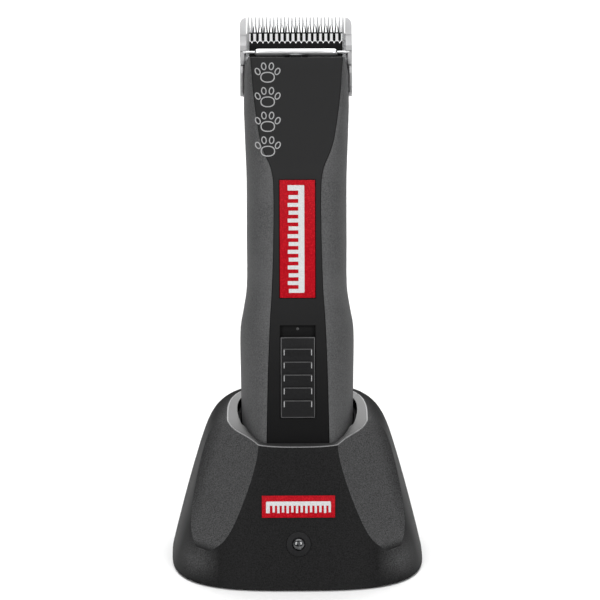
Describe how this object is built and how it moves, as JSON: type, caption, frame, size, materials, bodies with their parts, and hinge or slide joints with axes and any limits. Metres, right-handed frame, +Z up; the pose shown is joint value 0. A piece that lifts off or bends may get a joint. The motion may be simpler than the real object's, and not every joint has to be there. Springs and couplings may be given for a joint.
{
  "type": "electric pet clipper with charging stand",
  "caption": "Cordless pet hair clipper with a hinged detachable comb blade and a thumb slide switch, leaning upright in a tapered charging stand.",
  "frame": {"origin": "on the ground under the centre of the stand's foot", "axes": "+Z up, +X to the object's right, -Y towards the switch side; the clipper leans back towards +Y by 12 degrees"},
  "size_m": [0.11, 0.108, 0.2306],
  "materials": {
    "centre_panel": "satin black, finely moulded",
    "housing": "fine moulded texture, dark grey",
    "stand_housing": "fine moulded texture, dark grey facets and a darker front panel",
    "black_plastic": "plain moulded black",
    "soft_button": "soft-touch black",
    "badge": "glossy red with a white emblem",
    "blade_steel": "bright sintered and ground steel",
    "cutter_steel": "dark treated steel, ground edges",
    "bright_steel": "polished",
    "plated_steel": "zinc plated sheet",
    "spring_steel": "rolled spring steel",
    "contact_metal": "gold-plated",
    "bronze": "sintered bronze",
    "copper": "enamelled copper winding",
    "magnet": "ferrite",
    "carbon": "carbon brush",
    "nylon": "natural nylon",
    "board": "green solder mask",
    "component": "moulded chip body",
    "cell_wrap": "shrink wrap",
    "rubber": "moulded rubber",
    "lens": "clear moulded light guide"
  },
  "bodies": {
    "stand": {"stand_shell": "stand_housing", "stand_base": "black_plastic", "stand_feet": "rubber", "base_screws": "plated_steel", "cradle_cup": "black_plastic", "contact_carrier": "black_plastic", "contact_barrels": "contact_metal", "charger_board": "board", "charger_components": "component", "indicator_bezel": "black_plastic", "indicator_lens": "lens", "power_socket": "black_plastic", "power_socket_pin": "bright_steel", "stand_badge": "badge"},
    "contacts": {"contact_plungers": "contact_metal"},
    "clipper": {"front_shell": "housing", "rear_shell": "housing", "front_panel": "centre_panel", "grip_badge": "badge", "switch_body": "plated_steel", "circuit_board": "board", "board_components": "component", "housing_screws": "plated_steel", "battery_cap": "black_plastic", "battery_case": "black_plastic", "battery_cells": "cell_wrap", "battery_terminals": "contact_metal", "charge_pads": "contact_metal", "motor_can": "plated_steel", "motor_end_bell": "black_plastic", "motor_magnets": "magnet", "motor_brushes": "carbon", "motor_bushing": "bronze", "motor_screws": "plated_steel", "drive_frame": "plated_steel", "pivot_pin": "bright_steel", "hinge_base": "plated_steel", "hinge_pin": "bright_steel", "hinge_screws": "plated_steel", "latch_leaf": "spring_steel"},
    "switch": {"switch_button": "soft_button", "switch_nub": "nylon"},
    "rotor": {"motor_shaft": "bright_steel", "motor_armature": "copper", "commutator": "copper", "eccentric": "bronze", "eccentric_bearing": "bright_steel"},
    "lever": {"drive_lever": "plated_steel", "lever_tip": "nylon", "pivot_spacers": "nylon"},
    "blade": {"comb_blade": "blade_steel", "tension_bar": "bright_steel", "cutter_guides": "black_plastic", "blade_screws": "plated_steel", "blade_socket": "plated_steel"},
    "cutter": {"cutter_blade": "cutter_steel"},
    "release": {"release_button": "soft_button", "latch_strip": "spring_steel"}
  },
  "joints": [
    {"name": "clipper_lift", "type": "slide", "parent": "stand", "child": "clipper", "axis": [0, 0.2079, 0.9781], "range_m": [0, 0.075]},
    {"name": "contact_press", "type": "slide", "parent": "stand", "child": "contacts", "axis": [0, 0.2079, 0.9781], "range_m": [-0.0012, 0], "stiffness_N_per_m": 300, "springref_m": 0.001},
    {"name": "switch_slide", "type": "slide", "parent": "clipper", "child": "switch", "axis": [0, 0.2079, 0.9781], "range_m": [0, 0.0048]},
    {"name": "rotor_spin", "type": "hinge", "parent": "clipper", "child": "rotor", "pos_m": [0, 0.01438, 0.16088], "axis": [0, 0.2079, 0.9781], "continuous": true},
    {"name": "lever_rock", "type": "hinge", "parent": "clipper", "child": "lever", "pos_m": [0, 0.01958, 0.18533], "axis": [0, 0.9781, -0.2079], "range_deg": [-2.14, 2.14]},
    {"name": "blade_fold", "type": "hinge", "parent": "clipper", "child": "blade", "pos_m": [0, 0.03422, 0.19515], "axis": [-1, 0, 0], "range_deg": [0, 50]},
    {"name": "cutter_slide", "type": "slide", "parent": "blade", "child": "cutter", "axis": [1, 0, 0], "range_m": [-0.00126, 0.00126]},
    {"name": "release_press", "type": "slide", "parent": "clipper", "child": "release", "axis": [0, -0.2079, -0.9781], "range_m": [0, 0.0025], "stiffness_N_per_m": 500, "springref_m": -0.002}
  ],
  "couplings": [
    {"joint": "cutter_slide", "follows": "lever_rock", "m_per_rad": 0.0334}
  ]
}
